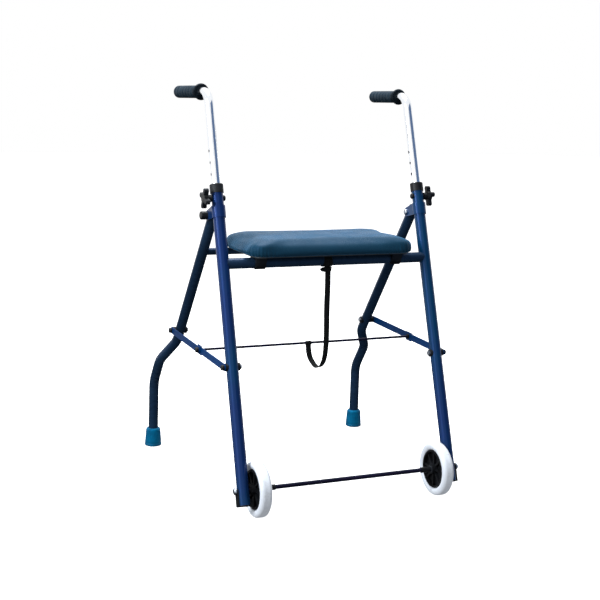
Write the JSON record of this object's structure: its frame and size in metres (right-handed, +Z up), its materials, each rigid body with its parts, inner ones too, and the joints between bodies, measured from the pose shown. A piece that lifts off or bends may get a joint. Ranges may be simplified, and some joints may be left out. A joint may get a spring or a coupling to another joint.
{
  "type": "folding walking frame",
  "caption": "Folding blue tubular walking frame with front wheels, rubber rear feet, height-adjustable rear-facing grips and a padded fold-up seat.",
  "frame": {"origin": "on the floor, in the middle of the footprint between the front wheels and the rear feet", "axes": "+Z up, -Y to the front where the wheels are, +Y to the rear where the grips point, X across the frame"},
  "size_m": [0.634, 0.6635, 0.953],
  "materials": {
    "front_tube": "gloss blue enamel",
    "rear_tube": "gloss dark navy enamel",
    "brace_steel": "gloss navy enamel",
    "rod_steel": "near-black enamel",
    "handle_metal": "polished, anodised",
    "zinc_steel": "bright zinc plated",
    "black_plastic": "moulded black, satin",
    "hub_plastic": "moulded black",
    "bush_plastic": "dark grey nylon",
    "grip_rubber": "soft dark slate",
    "tyre_rubber": "pale grey solid tyre",
    "foot_rubber": "teal-blue rubber",
    "seat_vinyl": "padded vinyl, steel blue",
    "seat_wood": "plywood painted dark grey-green",
    "strap_webbing": "black woven webbing"
  },
  "bodies": {
    "front_frame": {"axle": "rod_steel", "axle_caps": "zinc_steel", "axle_sleeves": "black_plastic", "axle_washers": "black_plastic", "clamp_heads": "black_plastic", "front_bolt_caps": "black_plastic", "front_brace_bolts": "zinc_steel", "front_spacers": "black_plastic", "front_leg_left": "front_tube", "front_leg_right": "front_tube", "leg_collar_left": "black_plastic", "leg_collar_right": "black_plastic", "pivot_bracket_left": "front_tube", "pivot_bracket_right": "front_tube", "front_rail": "rear_tube", "leg_ends": "black_plastic", "pivot_bolts": "zinc_steel", "pivot_cap_nuts": "black_plastic", "strap": "strap_webbing", "strap_rail_loop": "strap_webbing"},
    "rear_frame": {"rear_leg_left": "rear_tube", "rear_leg_right": "rear_tube", "foot_left": "foot_rubber", "foot_right": "foot_rubber", "rear_rail": "rear_tube", "pivot_bushes": "bush_plastic", "rear_leg_caps": "black_plastic", "rear_spacers": "black_plastic", "rear_brace_bolts": "zinc_steel", "rear_bolt_caps": "black_plastic"},
    "brace_front": {"brace_front_link_left": "brace_steel", "brace_front_link_right": "brace_steel", "cross_rod": "rod_steel", "rod_collars": "black_plastic", "strap_rod_loop": "strap_webbing"},
    "brace_rear": {"brace_rear_link_left": "brace_steel", "brace_rear_link_right": "brace_steel", "brace_joint_caps": "black_plastic"},
    "seat": {"seat_board": "seat_wood", "seat_cushion": "seat_vinyl", "seat_saddle_left": "black_plastic", "seat_saddle_right": "black_plastic", "seat_catch_left": "black_plastic", "seat_catch_right": "black_plastic"},
    "handle_left": {"handle_tube_left": "handle_metal", "handle_guide_left": "bush_plastic", "grip_left": "grip_rubber"},
    "knob_left": {"knob_left": "black_plastic", "knob_screw_left": "zinc_steel"},
    "wheel_left": {"tyre_left": "tyre_rubber", "rim_left": "hub_plastic", "wheel_bush_left": "bush_plastic"},
    "handle_right": {"handle_tube_right": "handle_metal", "handle_guide_right": "bush_plastic", "grip_right": "grip_rubber"},
    "knob_right": {"knob_right": "black_plastic", "knob_screw_right": "zinc_steel"},
    "wheel_right": {"tyre_right": "tyre_rubber", "rim_right": "hub_plastic", "wheel_bush_right": "bush_plastic"}
  },
  "joints": [
    {"name": "rear_frame_fold", "type": "hinge", "parent": "front_frame", "child": "rear_frame", "pos_m": [0, -0.03504, 0.64966], "axis": [-1, 0, 0], "range_deg": [0, 48]},
    {"name": "brace_front_fold", "type": "hinge", "parent": "front_frame", "child": "brace_front", "pos_m": [0, -0.18322, 0.32264], "axis": [1, 0, 0], "range_deg": [0, 61.5]},
    {"name": "brace_rear_fold", "type": "hinge", "parent": "rear_frame", "child": "brace_rear", "pos_m": [0, 0.1952, 0.331], "axis": [-1, 0, 0], "range_deg": [0, 47]},
    {"name": "seat_lift", "type": "hinge", "parent": "front_frame", "child": "seat", "pos_m": [0, -0.10921, 0.54642], "axis": [1, 0, 0], "range_deg": [0, 90]},
    {"name": "handle_height_left", "type": "slide", "parent": "front_frame", "child": "handle_left", "axis": [0, 0.314, 0.9494], "range_m": [-0.112, 0.056]},
    {"name": "knob_turn_left", "type": "hinge", "parent": "front_frame", "child": "knob_left", "pos_m": [-0.29, -0.06107, 0.69197], "axis": [1, 0, 0], "continuous": true},
    {"name": "wheel_spin_left", "type": "hinge", "parent": "front_frame", "child": "wheel_left", "pos_m": [-0.229, -0.26925, 0.0625], "axis": [1, 0, 0], "continuous": true},
    {"name": "handle_height_right", "type": "slide", "parent": "front_frame", "child": "handle_right", "axis": [0, 0.314, 0.9494], "range_m": [-0.112, 0.056]},
    {"name": "knob_turn_right", "type": "hinge", "parent": "front_frame", "child": "knob_right", "pos_m": [0.29, -0.06107, 0.69197], "axis": [1, 0, 0], "continuous": true},
    {"name": "wheel_spin_right", "type": "hinge", "parent": "front_frame", "child": "wheel_right", "pos_m": [0.229, -0.26925, 0.0625], "axis": [1, 0, 0], "continuous": true}
  ],
  "couplings": [
    {"joint": "brace_front_fold", "follows": "rear_frame_fold", "ratio": 1.2756},
    {"joint": "brace_rear_fold", "follows": "rear_frame_fold", "ratio": 0.97628}
  ]
}
